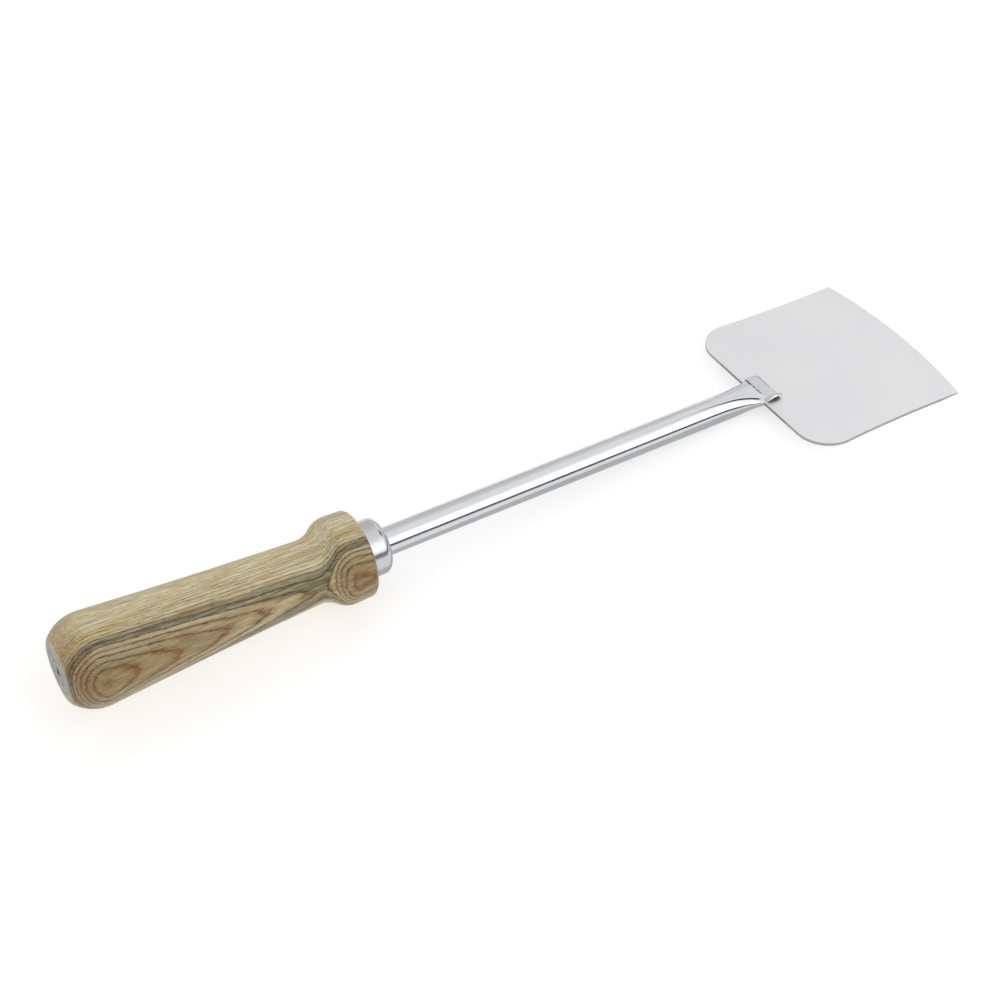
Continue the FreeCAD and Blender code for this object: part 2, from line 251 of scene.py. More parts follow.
class StageLook(bpy.types.PropertyGroup):
    """Floor, light and camera."""
    camera_place: bpy.props.FloatVectorProperty(
        name="Camera", description="Where the camera stands", subtype="TRANSLATION", unit="LENGTH",
        default=(-0.28833, -0.53083, 0.58713))
    camera_aim: bpy.props.FloatVectorProperty(
        name="Aim", description="The point that the camera looks at", subtype="TRANSLATION", unit="LENGTH",
        default=(-0.01244, -0.00785, 0.02))
    camera_roll: bpy.props.FloatProperty(
        name="Roll", description="Turn of the camera about its own line of sight", subtype="ANGLE",
        default=math.radians(-4.61))
    lens: bpy.props.FloatProperty(
        name="Lens", description="Focal length", unit="CAMERA", default=72.0)
    sky: bpy.props.FloatProperty(
        name="Tent", description="Brightness of the light tent", default=0.88)
    panel: bpy.props.FloatProperty(
        name="Panel", description="Extra brightness of the near panel", default=0.68)


# ---------------------------------------------------------------- shapes


def arc(centre, radius, first, last, count=12):
    """Points on a circle, from one angle to another in degrees, both ends in."""
    angles = [math.radians(first + (last - first) * i / count) for i in range(count + 1)]
    return [(centre[0] + radius * math.cos(a), centre[1] + radius * math.sin(a)) for a in angles]


def bulge(start, end, radius, count=16):
    """Points on the arc from start to end whose middle lies left of the way there for a positive radius."""
    (x0, y0), (x1, y1) = start, end
    chord = math.hypot(x1 - x0, y1 - y0)
    depth = math.copysign(math.sqrt(radius * radius - chord * chord / 4), radius)
    centre = ((x0 + x1) / 2 + (y1 - y0) / chord * depth, (y0 + y1) / 2 - (x1 - x0) / chord * depth)
    first = math.degrees(math.atan2(y0 - centre[1], x0 - centre[0]))
    last = math.degrees(math.atan2(y1 - centre[1], x1 - centre[0]))
    last = first + (last - first + 180) % 360 - 180
    return arc(centre, abs(radius), first, last, count)


def turned_tree():
    """Geometry nodes that turn an outline of (x, 0, radius) points about the X axis."""
    tree = bpy.data.node_groups.new("Turned shape", "GeometryNodeTree")
    face = tree.interface
    face.new_socket("Geometry", in_out="INPUT", socket_type="NodeSocketGeometry")
    face.new_socket("Sides", in_out="INPUT", socket_type="NodeSocketInt")
    face.new_socket("Material", in_out="INPUT", socket_type="NodeSocketMaterial")
    face.new_socket("Geometry", in_out="OUTPUT", socket_type="NodeSocketGeometry")
    g = Wire(tree)
    given = tree.nodes.new("NodeGroupInput").outputs
    outline, sides, material = (Wire(tree, given[i]) for i in range(3))
    points = g.node("GeometryNodeAttributeDomainSize", {"component": "MESH"}, {"Geometry": outline})
    spokes = sides + 1
    grid = g.node("GeometryNodeMeshGrid", None, {"Vertices X": points, "Vertices Y": spokes})
    index = g.node("GeometryNodeInputIndex")
    ring = g.maths("FLOOR", (index + 0.5) / spokes)
    spoke = index - ring * spokes
    place = g.node("GeometryNodeInputPosition")
    point = g.node("GeometryNodeSampleIndex", {"data_type": "FLOAT_VECTOR", "domain": "POINT"},
                   {"Geometry": outline, "Value": place, "Index": ring})
    along = g.node("ShaderNodeSeparateXYZ", None, {"Vector": point}, "X")
    radius = g.node("ShaderNodeSeparateXYZ", None, {"Vector": point}, "Z")
    angle = spoke * (2 * math.pi) / sides
    place = g.node("ShaderNodeCombineXYZ", None, {
        "X": along, "Y": radius * g.maths("SINE", angle), "Z": radius * g.maths("COSINE", angle)})
    shape = g.node("GeometryNodeSetPosition", None, {"Geometry": grid, "Position": place})
    shape = g.node("GeometryNodeMergeByDistance", None, {"Geometry": shape, "Distance": 1e-6})
    shape = g.node("GeometryNodeRealizeInstances", None, {"Geometry": shape})
    shape = g.node("GeometryNodeSetMaterial", None, {"Geometry": shape, "Material": material})
    tree.links.new(shape.socket, tree.nodes.new("NodeGroupOutput").inputs[0])
    return tree


def plain_mesh(piece):
    """The piece's evaluated shape as a plain mesh in its place on the object, with no modifier left."""
    bpy.context.view_layer.update()
    seen = piece.evaluated_get(bpy.context.evaluated_depsgraph_get())
    mesh = bpy.data.meshes.new_from_object(seen)
    piece.modifiers.clear()
    piece.data = mesh
    mesh.transform(TOOL)
    mesh.name = piece.name


def smooth_faces(mesh, degrees):
    """Shades the mesh smooth, apart from edges that turn by more than this."""
    mesh.polygons.foreach_set("use_smooth", [True] * len(mesh.polygons))
    mesh.set_sharp_from_angle(angle=math.radians(degrees))


def new_piece(name, mesh):
    """A mesh as an object of the scene, at the origin."""
    piece = bpy.data.objects.new(name, mesh)
    bpy.context.scene.collection.objects.link(piece)
    return piece


def turned(name, outline, sides, material):
    """A turned piece from its outline in millimetres, which runs forward along the outside."""
    mesh = bpy.data.meshes.new(name)
    points = [(x * MM, 0, r * MM) for x, r in outline]
    mesh.from_pydata(points, [(i, i + 1) for i in range(len(points) - 1)], [])
    piece = new_piece(name, mesh)
    modifier = piece.modifiers.new("Turned", "NODES")
    tree = turned_tree()
    modifier.node_group = tree
    inputs = {item.name: item.identifier for item in tree.interface.items_tree if item.in_out == "INPUT"}
    modifier[inputs["Sides"]] = sides
    modifier[inputs["Material"]] = material
    plain_mesh(piece)
    smooth_faces(piece.data, 35)
    return piece


def settle(piece, slot, *nodes):
    """Hands the finished piece to the frame."""
    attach(piece, "root")
    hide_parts(*nodes)


# ---------------------------------------------------------------- finishes


def wood_finish(look):
    """Clear varnish over open-grained wood cut so that its layers lie flat to the near side."""
    finish = Finish("varnished_wood", Roughness=0.42, Coat_Roughness=0.28, Coat_Weight=0.22)
    g, x, y, z = finish.graph, finish.x, finish.y, finish.z
    # Depth runs across the growth layers, towards the near side, and across runs along them.
    facing, leaning = 0.985, 0.174
    depth = y * -facing + z * leaning
    across = y * leaning + z * facing
    sway = (g.noise(x * 0.035, depth * 0.12, across * 0.13) - 0.5) * 1.1
    sway = sway + (g.noise(x * 0.13, depth * 0.5, across * 0.6) - 0.5) * 0.45
    sway = sway + (g.noise(x * 0.5, depth * 1.5, across * 1.5) - 0.5) * 0.14
    layer = depth + sway

    # The ground colour follows the depth, in millimetres from the heart of the piece.
    reach = 20
    ground = g.node("ShaderNodeValToRGB", {"stops": [
        ((stop + reach) / (2 * reach), linear(*colour)) for stop, colour in (
            (-20, (188, 172, 130)), (-6, (206, 194, 150)), (0, (242, 232, 196)), (5, (228, 219, 190)),
            (8, (216, 202, 160)), (10, (218, 208, 174)), (11.4, (184, 174, 138)), (12.5, (158, 148, 110)),
            (13.3, (172, 162, 122)), (14.4, (192, 178, 142)), (16.5, (170, 152, 112)),
            (18.8, (163, 143, 97)))]}, {"Fac": (layer + reach) / (2 * reach)})

    fibre = g.noise(x * 0.025, depth * 1.3, across * 1.3, 4.0, 0.65)
    hair = g.noise(x * 0.10, depth * 6, across * 6, 2.0, 0.6)
    ground = (fibre.step(0.38, 0.66) * 0.62).mix(ground, linear(178, 160, 120), "MULTIPLY")
    ground = (hair.step(0.45, 0.72) * 0.6).mix(ground, linear(196, 180, 148), "MULTIPLY")
    yellow = g.noise(x * 0.02, depth * 0.7 + 11, across * 0.5, 2.0).step(0.50, 0.66)
    ground = (yellow * 0.6).mix(ground, linear(244, 224, 164), "MULTIPLY")

    stain = (layer.step(11.2, 12.4) * layer.step(14.1, 13.2)
             * g.noise(x * 0.03, depth * 2.4 + 5, across * 1.2, 3.0).step(0.40, 0.60))
    ground = (stain * 0.8).mix(ground, tuple(look.stain_colour))

    # Growth lines, broken into dashes, with pores beside them.
    outermost_line = 18.35
    year = g.maths("FRACT", (layer - outermost_line) / look.ring_gap + 40)
    edge = g.maths("ABSOLUTE", year - 0.5)
    line = edge.step(0.36, 0.45)
    soft_line = edge.step(0.10, 0.48)
    dashes = g.noise(x * 0.30, depth * 2.5, across * 2.0, 2.0).step(0.36, 0.56)
    figured = layer.step(9.5, 12.5)
    line_strength = line * (0.30 + 0.70 * dashes) * (0.36 + 0.62 * figured)
    warm = g.maths("ABSOLUTE", across - 1.0).step(8.0, 2.5) * layer.step(13.6, 14.6)
    line_colour = warm.mix(tuple(look.line_colour), tuple(look.warm_colour))
    wood = (soft_line * (0.2 + 0.25 * figured)).mix(ground, linear(196, 172, 124), "MULTIPLY")
    wood = line_strength.mix(wood, line_colour)

    pores = g.noise(x * 0.20, depth * 4.5, across * 3.5, 1.0).step(0.58, 0.68) * edge.step(0.12, 0.4)
    wood = (pores * (0.45 + 0.35 * figured)).mix(wood, tuple(look.line_colour))

    # The butt is darker and greyer, with the marks of the lathe's centre.
    off_axis = g.maths("SQRT", y * y + z * z)
    butt = x.step(-126.9, -128.1) * off_axis.step(12.5, 9.5)
    wood = (x.step(-115.0, -127.0) * 0.55).mix(wood, linear(196, 160, 96), "MULTIPLY")
    rough = g.noise(x * 0.5, y * 0.45, z * 0.45, 3.0)
    plate = rough.step(0.35, 0.65).mix(linear(92, 96, 90), linear(128, 140, 148))
    wood = (butt * 0.8).mix(wood, plate)
    mark = (g.maths("ABSOLUTE", off_axis - 5.0).step(0.7, 0.2) * 0.7
            + g.maths("ABSOLUTE", off_axis - 1.6).step(0.9, 0.3) * 0.9
            + g.maths("ABSOLUTE", y + 3.2).step(1.5, 1.1) * g.maths("ABSOLUTE", z + 4.2).step(0.6, 0.3))
    mark = g.maths("MINIMUM", mark, 1.0)
    wood = (mark * butt * 0.85).mix(wood, linear(50, 44, 34))

    finish.feed("Base Color", wood)
    finish.feed("Roughness", 0.38 + pores * 0.25 + hair * 0.12)
    finish.bump(1 - line_strength * 0.5 - pores - mark * butt, 0.08)
    return finish.material


def turned_steel_finish(look):
    """Satin steel with fine turning lines round it."""
    finish = Finish("turned_steel", Metallic=1.0)
    g, x, y, z = finish.graph, finish.x, finish.y, finish.z
    radius = g.maths("SQRT", y * y + z * z)
    lines = g.noise(x * 5, radius * 5, 0.0, 3.0, 0.7)
    spots = g.noise(x * 0.3, y * 0.3, z * 0.3)
    colour = (lines.step(0.3, 0.75) * 0.3).mix(tuple(look.colour), (0.42, 0.43, 0.45))
    finish.feed("Base Color", colour)
    finish.feed("Roughness", 0.12 + lines * 0.12 + spots * 0.06)
    finish.bump(lines, 0.012)
    return finish.material


def chrome_finish(look):
    """Bright chrome over drawn tube, with faint drawing marks along it. Along the bottom of the fold
    across the jaw runs a dark line of painted shade, and along the cut end of its upper wall a painted shadow
    line."""
    finish = Finish("bright_chrome", Metallic=1.0)
    g, x, y, z = finish.graph, finish.x, finish.y, finish.z
    drawn = g.noise(x * 0.05, y * 3, z * 3, 2.0)
    haze = g.noise(x * 0.06, y * 0.15, z * 0.15, 3.0)
    colour = (haze.step(0.4, 0.7) * 0.5).mix(tuple(look.colour), (0.60, 0.61, 0.64))
    # Painted shade: a dark line along the bottom of the fold across the jaw.
    fold = x.step(look.crease - 0.9, look.crease - 0.3) * x.step(look.crease + 0.25, look.crease)
    fold = fold * z.step(1.6, 2.2) * y.step(-4.5, -2.5) * g.noise(y * 0.5, 0.0, 7.0).step(0.3, 0.5)
    # Painted shadow: a dark line along the top of the jaw's cut end, where it meets the blade.
    cut = x.step(look.end - 0.5, look.end - 0.2) * y.step(-3.0, 2.0) * z.step(2.3, 2.5)
    finish.feed("Base Color", g.maths("MAXIMUM", fold, cut).mix(colour, (0.07, 0.07, 0.075)))
    finish.feed("Roughness", 0.05 + drawn * 0.05 + haze * 0.05)
    finish.bump(drawn, 0.002)
    return finish.material


def dull_steel_finish(name, shade):
    """Dull grey steel, for the tube's bore and the blade's sheared edges. Its darkness also paints shade
    inside the bore and a dark line along the blade's edges.
    """
    finish = Finish(name, Metallic=1.0)
    g, x, y, z = finish.graph, finish.x, finish.y, finish.z
    scale = g.noise(x * 0.8, y * 0.8, z * 3, 3.0)
    light = shade * 1.5
    finish.feed("Base Color", scale.mix((shade, shade, shade * 1.03), (light, light, light)))
    finish.feed("Roughness", 0.42 + scale * 0.2)
    finish.bump(scale, 0.02)
    return finish.material


def satin_steel_finish(look):
    """Rolled sheet steel, satin, with faint lines across the blade."""
    finish = Finish("satin_steel", Metallic=1.0)
    g, x, y, z = finish.graph, finish.x, finish.y, finish.z
    rolled = g.noise(x * 4, y * 0.05, z * 2, 3.0, 0.6)
    cloud = g.noise(x * 0.03, y * 0.03, z * 0.03, 2.0)
    finish.feed("Base Color", (cloud.step(0.35, 0.65) * 0.5).mix(tuple(look.colour), (0.82, 0.82, 0.84)))
    finish.feed("Roughness", 0.36 + rolled * 0.1 + cloud * 0.04)
    finish.bump(rolled, 0.004)
    return finish.material


def adhesive_finish():
    """The cured glue in the handle's socket."""
    finish = Finish("cured_adhesive")
    g, x, y, z = finish.graph, finish.x, finish.y, finish.z
    lumps = g.noise(x * 0.4, y * 0.4, z * 0.4, 3.0)
    finish.feed("Base Color", lumps.mix((0.45, 0.38, 0.24), (0.60, 0.53, 0.38)))
    finish.feed("Roughness", 0.45 + lumps * 0.3)
    finish.bump(lumps, 0.05)
    return finish.material


def weld_finish():
    """Heat-tinted spot welds."""
    finish = Finish("spot_weld", Metallic=1.0)
    g, x, y, z = finish.graph, finish.x, finish.y, finish.z
    heat = g.noise(x * 0.9, y * 0.9, z * 0.9, 3.0)
    finish.feed("Base Color", heat.mix((0.36, 0.35, 0.36), (0.56, 0.50, 0.42)))
    finish.feed("Roughness", 0.35 + heat * 0.3)
    finish.bump(heat, 0.03)
    return finish.material


# ---------------------------------------------------------------- pieces

TUBE_COLUMNS = 72         # faces across each half of the tube
SIDE_GAP = 0.037          # each half of the tube stops this share short of either side
LIP = (197.4, 205.2)      # where the jaw's near corner stands off the blade, mm
LIP_HEIGHT = 1.8          # how far it stands off, mm
DENT = (196.4, 5.4)       # the dent beside the fold: along the tool and across it, mm
DENT_DEPTH = 0.4          # mm
DENT_RADIUS = 1.6         # mm
JAW_CORNER = 2.8          # radius of the jaw's far front corner, mm


class KNIFE_OT_handle(bpy.types.Operator):
    """Turn the wooden handle."""
    bl_idname = "knife.handle"
    bl_label = "Handle"

    def execute(self, context):
        look = context.scene.knife_handle
        swell, neck, collar = look.swell_radius, look.neck_radius, look.collar_radius
        butt, swell_at, neck_at, collar_at = -HANDLE_LENGTH, -113.5, -23.5, -8.5
        cove_end = (-15.55, 16.33)
        rim_round, shoulder_round, taper_hollow, cove_round, collar_round = 4, 17.2, 3100, 11.5, 10.2
        edge_round, tenon_round = 1.8, 3
        centre_hole, tenon, socket = 1.25, 10.95, 6.2
        tenon_length, socket_point = 9, 3.5
        outline = [(butt + 7, 0), (butt + 6, centre_hole), (butt + 0.3, centre_hole), (butt, 1.5)]
        outline += [(butt, radius) for radius in (3, 5, 7, 9)]
        outline += arc((butt + rim_round, 11.21), rim_round, 180, 136, 10)
        outline += arc((-114.8, swell - 17.15), shoulder_round, 136, 85.7, 20)[1:]
        outline += bulge((swell_at, swell), (neck_at, neck), -taper_hollow, 40)[1:]
        outline += bulge((neck_at, neck), cove_end, -cove_round)[1:]
        outline += bulge(cove_end, (collar_at, collar), collar_round)[1:]
        outline += arc((-1.83, 16.6), edge_round, 88, 0, 10)
        outline += [(0, 14), (0, tenon), (tenon_length - tenon_round, tenon)]
        outline += arc((tenon_length - tenon_round, tenon - tenon_round), tenon_round, 90, 0, 8)[1:]
        outline += [(tenon_length, socket), (-SOCKET_DEPTH, socket), (-SOCKET_DEPTH - socket_point, 0)]
        piece = turned("turned_handle", outline, 192, wood_finish(look))
        settle(piece, "handle_wood", "handle")
        return {"FINISHED"}


class KNIFE_OT_ferrule(bpy.types.Operator):
    """Turn the steel ferrule."""
    bl_idname = "knife.ferrule"
    bl_label = "Ferrule"

    def execute(self, context):
        look = context.scene.knife_ferrule
        radius, length, shoulder = look.radius, look.length, look.shoulder
        wall, hole, broken = 1.0, 6.05, 0.15
        inner = shoulder - wall
        outline = [(0, radius - wall), (0, radius - broken), (broken, radius), (3, radius)]
        outline += arc((length - shoulder, radius - shoulder), shoulder, 90, 0, 14)
        outline += [(length, hole + broken), (length - broken, hole), (length - wall, hole)]
        outline += arc((length - wall - inner, radius - wall - inner), inner, 0, 90, 10)
        outline += [(0, radius - wall)]
        piece = turned("turned_ferrule", outline, 128, turned_steel_finish(look))
        settle(piece, "ferrule_steel", "ferrule")
        return {"FINISHED"}


def jaw_half(share, look):
    """Outer half of the flat section, from its near side at 0 to its far side at 1: (y, height)."""
    width, height = look.jaw_half_width, look.jaw_half_height
    quarter = math.pi / 2 * height
    level = 2 * (width - height)
    run = share * (2 * quarter + level)
    if run < quarter:
        angle = run / height
        return -width + height - height * math.cos(angle), height * math.sin(angle)
    if run > quarter + level:
        angle = (2 * quarter + level - run) / height
        return width - height + height * math.cos(angle), height * math.sin(angle)
    return -width + height + run - quarter, height


class KNIFE_OT_tube(bpy.types.Operator):
    """Draw the tube and flatten its end into the jaw."""
    bl_idname = "knife.tube"
    bl_label = "Shank tube"

    def execute(self, context):
        look = context.scene.knife_tube
        blade = context.scene.knife_blade
        slit_from = blade.back - 0.01
        stations = tube_stations(look, blade)
        shares = [SIDE_GAP + (1 - 2 * SIDE_GAP) * i / TUBE_COLUMNS for i in range(TUBE_COLUMNS + 1)]
        shape = bmesh.new()
        rings = []
        for station in stations:
            ring = []
            for half in (1, -1):
                row = [shape.verts.new(tube_point(station, share, half, look)) for share in shares]
                ring.append(row if half == 1 else row[::-1])
            rings.append(ring)
        for (top, low), (top_next, low_next), station in zip(rings, rings[1:], stations):
            loops = [(top, top_next), (low, low_next)]
            if station < slit_from:
                loops += [((top[-1], low[0]), (top_next[-1], low_next[0])),
                          ((low[-1], top[0]), (low_next[-1], top_next[0]))]
            for row, row_next in loops:
                for a, b, c, d in zip(row, row[1:], row_next[1:], row_next):
                    shape.faces.new((a, b, c, d))
        bmesh.ops.recalc_face_normals(shape, faces=shape.faces)
        mesh = bpy.data.meshes.new("flattened_tube")
        shape.to_mesh(mesh)
        shape.free()
        mesh.transform(TOOL @ Matrix.Scale(MM, 4))
        smooth_faces(mesh, 30)
        mark_crease(mesh, look.crease)
        piece = new_piece("flattened_tube", mesh)
        mesh.materials.append(chrome_finish(look))
        # The inside of the tube is bare steel, painted almost black as painted shade inside the bore.
        mesh.materials.append(dull_steel_finish("bare_bore_painted_shade", 0.10))
        wall = piece.modifiers.new("Wall", "SOLIDIFY")
        wall.thickness = look.wall * MM
        wall.offset = -1
        wall.use_even_offset = False
        wall.material_offset = 1
        settle(piece, "tube_chrome", "shank_tube")
        return {"FINISHED"}


def tube_stations(look, blade):
    """Where the tube's rings lie: few where it is round, each millimetre where it flattens, one
    where the side slits start, and each half millimetre in the jaw."""
    stations = [-SOCKET_DEPTH, 0, 9, 40, 80, 120, 150]
    stations += [look.flat_start + i for i in range(int(look.crease - look.flat_start))]
    stations = [s for s in stations if abs(s - blade.back) > 0.6] + [blade.back, look.crease]
    stations += [look.crease + 0.5 * i for i in range(1, int(2 * (look.end - look.crease)) + 1)]
    return sorted(stations)


def mark_crease(mesh, crease):
    """Keeps the fold across the jaw crisp."""
    back = TOOL.inverted()
    places = [(back @ v.co).x / MM for v in mesh.vertices]
    for edge in mesh.edges:
        if all(abs(places[v] - crease) < 0.02 for v in edge.vertices):
            edge.use_edge_sharp = True


def bell(value):
    """1 at 0, falling evenly to 0 at 1 and beyond."""
    return max(0.0, 1 - value * value) ** 2


def tube_point(station, share, half, look):
    """A point of the tube's outside. Share runs from the near side at 0 to the far side at 1, and
    half is 1 for the upper wall and -1 for the lower."""
    angle = math.pi * (share - 0.5)
    round_y, round_z = look.radius * math.sin(angle), half * look.radius * math.cos(angle)
    y, height = jaw_half(share, look)
    run = min(1.0, max(0.0, (station - look.flat_start) / (look.crease - look.flat_start)))
    past_crease = smooth(look.crease - 0.6, look.crease + 0.6, station)

    # The near side is oval up to the crease and gives way late.
    near = smooth(-0.5, -4.5, round_y)
    oval = near * (1 - smooth(look.crease - 7, look.crease, station))
    y += (look.jaw_half_width * math.sin(angle) - y) * oval
    height += (look.jaw_half_height * math.cos(angle) - height) * oval
    z = BLADE_LIFT + half * height
    far_out = 0.62 * run ** 2.2 + 0.42 * past_crease
    near_out = run ** 6
    out = near_out + (far_out - near_out) * smooth(-2.0, 5.0, round_y)
    down = run ** ((2.6 if half == 1 else 2.3) + 3.4 * near)
    place_y = round_y + (y - round_y) * out
    place_z = round_z + (z - round_z) * down
    place_z += 0.45 * smooth(-3.0, -6.0, round_y) * bell((station - 192) / 10)

    if half == 1:
        past = (station - LIP[0]) / (LIP[1] - LIP[0])
        if 0 < past < 1:
            place_z += LIP_HEIGHT * math.sin(math.pi * past) ** 0.6 * smooth(-6.4, -9.0, place_y)
        away = math.hypot(station - DENT[0], place_y - DENT[1])
        place_z -= DENT_DEPTH * bell(away / DENT_RADIUS)
    return jaw_end(station, place_y, half, look), place_y, place_z


def jaw_end(station, y, half, look):
    """Where a ring's point lies along the tool, once the jaw's far corner is rounded off and its
    near corner drawn out."""
    if station <= look.crease:
        return station
    trim = 0.0
    inside = look.jaw_half_width - JAW_CORNER
    if y > inside:
        trim = JAW_CORNER - math.sqrt(max(0.0, JAW_CORNER ** 2 - (y - inside) ** 2))
    if half == 1:
        trim -= smooth(-4.0, -9.0, y)
    reach = look.end - look.crease
    return look.crease + (station - look.crease) * (reach - trim) / reach


def blade_outline(look):
    """The near half of the blade's outline, from the middle of its back edge to the middle of its front."""
    corner, half_width = 46.0, 48.0
    rear_radius, side_radius, front_radius = 15.0, 580.0, 248.2
    side = bulge((look.back, half_width), (look.corner, corner), -side_radius, 40)
    chord = math.hypot(look.corner - look.back, half_width - corner)
    rise = math.sqrt(side_radius ** 2 - chord ** 2 / 4)
    centre = ((look.back + look.corner) / 2 + (half_width - corner) / chord * rise,
              (half_width + corner) / 2 + (look.corner - look.back) / chord * rise)
    round_x = look.back + rear_radius
    round_y = centre[1] - math.sqrt((side_radius + rear_radius) ** 2 - (centre[0] - round_x) ** 2)
    join = math.degrees(math.atan2(centre[1] - round_y, centre[0] - round_x))
    start = round_x + rear_radius * math.cos(math.radians(join))
    points = [(look.back, 0.0), (look.back, round_y * 0.5)]
    points += arc((round_x, round_y), rear_radius, 180, join, 24)
    points += [p for p in side if p[0] > start + 0.5]
    front = math.degrees(math.asin(corner / front_radius))
    front_centre = look.corner - front_radius * math.cos(math.radians(front))
    points += arc((front_centre, 0), front_radius, front, 0, 24)[1:]
    return points


class KNIFE_OT_blade(bpy.types.Operator):
    """Cut the blade and grind its front from below."""
    bl_idname = "knife.blade"
    bl_label = "Blade"

    def execute(self, context):
        look = context.scene.knife_blade
        top = BLADE_LIFT + look.thickness / 2
        under = BLADE_LIFT - look.thickness / 2
        heel, run, rise = 264.0, 14.5, 1.25
        half = blade_outline(look)
        before = [p for p in half if p[0] < heel]
        after = [p for p in half if p[0] > heel]
        share = (heel - before[-1][0]) / (after[0][0] - before[-1][0])
        edge = (heel, before[-1][1] + (after[0][1] - before[-1][1]) * share)
        half = before + [edge] + after
        outline = half + [(x, -y) for x, y in half[-2:0:-1]]
        shape = bmesh.new()
        upper = [shape.verts.new((x, y, top)) for x, y in outline]
        lower = [shape.verts.new((x, y, under + max(0.0, x - heel) * rise / run)) for x, y in outline]
        first = len(before)
        last = len(outline) - first
        shape.faces.new(upper)
        shape.faces.new(lower[first:last + 1])
        shape.faces.new(lower[:first + 1] + lower[last:])
        for i in range(len(outline)):
            following = (i + 1) % len(outline)
            cut = shape.faces.new((lower[i], lower[following], upper[following], upper[i]))
            cut.material_index = 1
        bmesh.ops.recalc_face_normals(shape, faces=shape.faces)
        mesh = bpy.data.meshes.new("ground_blade")
        shape.to_mesh(mesh)
        shape.free()
        mesh.transform(TOOL @ Matrix.Scale(MM, 4))
        smooth_faces(mesh, 3)
        mesh.materials.append(satin_steel_finish(look))
        # The sheared edges are duller steel, and their dark grey is also a painted reflection: the dark line
        # along the blade's edges.
        mesh.materials.append(dull_steel_finish("sheared_edge_painted_reflection", 0.33))
        piece = new_piece("ground_blade", mesh)
        edges = piece.modifiers.new("Broken edges", "BEVEL")
        edges.width = look.edge_break * MM
        edges.segments = 2
        edges.limit_method = "ANGLE"
        edges.angle_limit = math.radians(40)
        edges.harden_normals = True
        settle(piece, "blade_steel", "blade")
        return {"FINISHED"}


class KNIFE_OT_hidden(bpy.types.Operator):
    """Give the glue and the welds their finishes."""
    bl_idname = "knife.hidden"
    bl_label = "Glue and welds"

    def execute(self, context):
        for name, material in (("socket_adhesive", adhesive_finish()), ("jaw_welds", weld_finish())):
            mesh = frame["nodes"][name].data
            for i in range(len(mesh.materials)):
                mesh.materials[i] = material
            if not mesh.materials:
                mesh.materials.append(material)
        return {"FINISHED"}


class KNIFE_OT_stage(bpy.types.Operator):
    """Lay the floor, light it and place the camera."""
    bl_idname = "knife.stage"
    bl_label = "Stage"

    def execute(self, context):
        look = context.scene.knife_stage
        lay_floor()
        lay_card("dark_card", (-1.5, -0.62), (2.0, -0.15), 0.0)
        lay_card("grey_card", (-0.07, -0.02), (0.15, 0.03), 0.58)
        light_tent(look)
        camera = bpy.data.cameras.new("Camera")
        camera.lens = look.lens
        camera.sensor_width = 36.0
        camera.clip_start = 0.01
        camera.clip_end = 50.0
        stand = bpy.data.objects.new("Camera", camera)
        context.scene.collection.objects.link(stand)
        sight = Vector(look.camera_aim) - Vector(look.camera_place)
        level = sight.to_track_quat("-Z", "Y").to_matrix().to_4x4()
        roll = Matrix.Rotation(look.camera_roll, 4, "Z")
        stand.matrix_world = Matrix.Translation(look.camera_place) @ level @ roll
        context.scene.camera = stand
        context.scene.view_settings.view_transform = "Standard"
        return {"FINISHED"}


def lay_floor():
    """A wide pale disc under the tool."""
    shape = bmesh.new()
    bmesh.ops.create_circle(shape, cap_ends=True, segments=64, radius=6.0)
    mesh = bpy.data.meshes.new("floor")
    shape.to_mesh(mesh)
    shape.free()
    floor = new_piece("floor", mesh)
    finish = Finish("pale_floor", Roughness=1.0, Specular_IOR_Level=0.0, Emission_Strength=1.0)
    g = finish.graph
    grain = g.noise(finish.x * 0.02, finish.y * 0.02, finish.z * 0.02)
    finish.feed("Base Color", grain.mix((0.57, 0.57, 0.57), (0.58, 0.58, 0.58)))
    finish.feed("Emission Color", grain.mix((0.56, 0.56, 0.56), (0.57, 0.57, 0.57)))
    mesh.materials.append(finish.material)


def lay_card(name, corner, far_corner, shade):
    """A card on the floor, seen only in bright metal, that shades the tube's lower side."""
    (x0, y0), (x1, y1) = corner, far_corner
    mesh = bpy.data.meshes.new(name)
    height = 0.001
    corners = [(x0, y0, height), (x1, y0, height), (x1, y1, height), (x0, y1, height)]
    mesh.from_pydata(corners, [], [(0, 1, 2, 3)])
    card = new_piece(name, mesh)
    finish = Finish(name, Roughness=1.0, Specular_IOR_Level=0.0, Emission_Strength=1.0)
    grain = finish.graph.noise(finish.x * 0.1, finish.y * 0.1, finish.z * 0.1)
    finish.feed("Base Color", grain.mix((0.02, 0.02, 0.02), (0.03, 0.03, 0.03)))
    light = shade * 1.05
    finish.feed("Emission Color", grain.mix((shade, shade, shade), (light, light, light)))
    mesh.materials.append(finish.material)
    card.visible_camera = False
    card.visible_diffuse = False
    card.visible_shadow = False
    card.visible_transmission = False


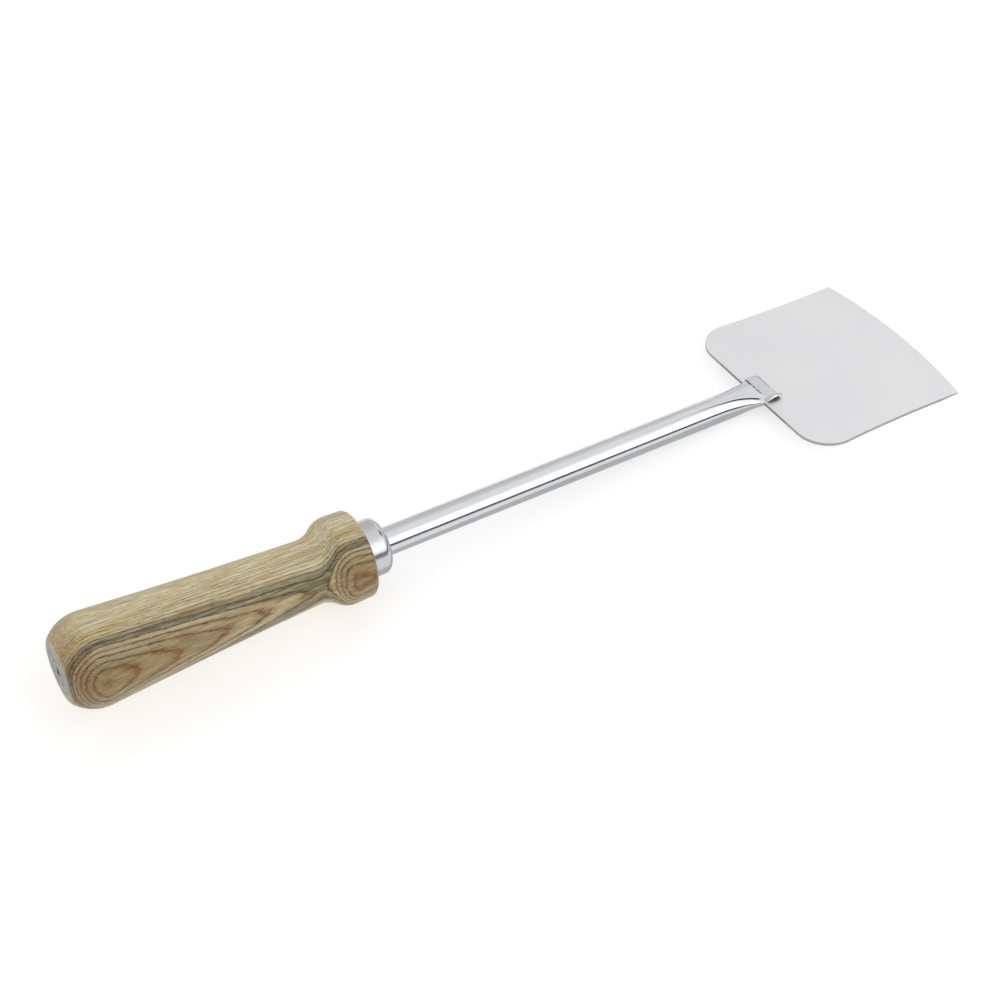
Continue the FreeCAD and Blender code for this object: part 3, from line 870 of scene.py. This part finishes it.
def light_tent(look):
    """A pale tent all round, seen only in reflections and by its light. On the near side it has a
    bright panel with a dark gap under it, and high above the blade's end a small dark spot. The
    backdrop itself is plain white."""
    world = bpy.data.worlds.new("light_tent")
    world.use_nodes = True
    bpy.context.scene.world = world
    g = Wire(world.node_tree)
    way = g.node("ShaderNodeTexCoord", output="Generated")
    x, y, z = (g.node("ShaderNodeSeparateXYZ", None, {"Vector": way}, axis) for axis in "XYZ")
    level = g.maths("SQRT", x * x + y * y) + 1e-4
    near = (y / level).step(0.15, -0.35)
    blade_end = (x / level).step(0.55, 0.85)
    rise = g.maths("ARCSINE", z) * (180 / math.pi)
    panel = near * rise.step(9.0, 14.0) * rise.step(60.0, 40.0) * x.step(0.05, 0.2) * x.step(0.75, 0.62)
    gap = g.maths("MAXIMUM", near, blade_end) * rise.step(10.5, 8.5) * rise.step(-1.5, -0.5)
    drift = (x * 0.88 - y * 0.47).step(0.0, 0.36) * 0.36 + 0.83
    spot = (x * 0.72 + z * 0.69).step(0.962, 0.984)
    light = (look.sky * drift + panel * look.panel) * (1 - gap * 0.95) * (1 - spot * 0.93)
    seen = g.node("ShaderNodeLightPath", output="Is Camera Ray")
    light = light * (1 - seen) + seen
    tent = world.node_tree.nodes["Background"]
    world.node_tree.links.new(light.socket, tent.inputs["Strength"])
    tent.inputs["Color"].default_value = (1.0, 1.0, 1.0, 1.0)


# ---------------------------------------------------------------- the add-on's parts

LOOKS = {"knife_handle": HandleLook, "knife_ferrule": FerruleLook, "knife_tube": TubeLook,
         "knife_blade": BladeLook, "knife_stage": StageLook}
STEPS = (KNIFE_OT_stage, KNIFE_OT_handle, KNIFE_OT_ferrule, KNIFE_OT_tube, KNIFE_OT_blade, KNIFE_OT_hidden)


class KNIFE_PT_pieces(bpy.types.Panel):
    """The knife's pieces, one button each, with their sizes and colours."""
    bl_idname = "KNIFE_PT_pieces"
    bl_label = "Uncapping knife"
    bl_space_type = "VIEW_3D"
    bl_region_type = "UI"
    bl_category = "Uncapping knife"

    def draw(self, context):
        for step in STEPS:
            self.layout.operator(step.bl_idname)
        for name, look in LOOKS.items():
            box = self.layout.box()
            box.label(text=name)
            for size in look.__annotations__:
                box.prop(getattr(context.scene, name), size)


def register():
    for part in (*LOOKS.values(), *STEPS, KNIFE_PT_pieces):
        bpy.utils.register_class(part)
    for name, look in LOOKS.items():
        setattr(bpy.types.Scene, name, bpy.props.PointerProperty(type=look))


def unregister():
    for name in LOOKS:
        delattr(bpy.types.Scene, name)
    for part in (KNIFE_PT_pieces, *reversed(STEPS), *reversed(tuple(LOOKS.values()))):
        bpy.utils.unregister_class(part)


def main():
    register()
    bpy.ops.knife.stage()
    bpy.ops.knife.handle()
    bpy.ops.knife.ferrule()
    bpy.ops.knife.tube()
    bpy.ops.knife.blade()
    bpy.ops.knife.hidden()


if __name__ == "__main__":
    main()
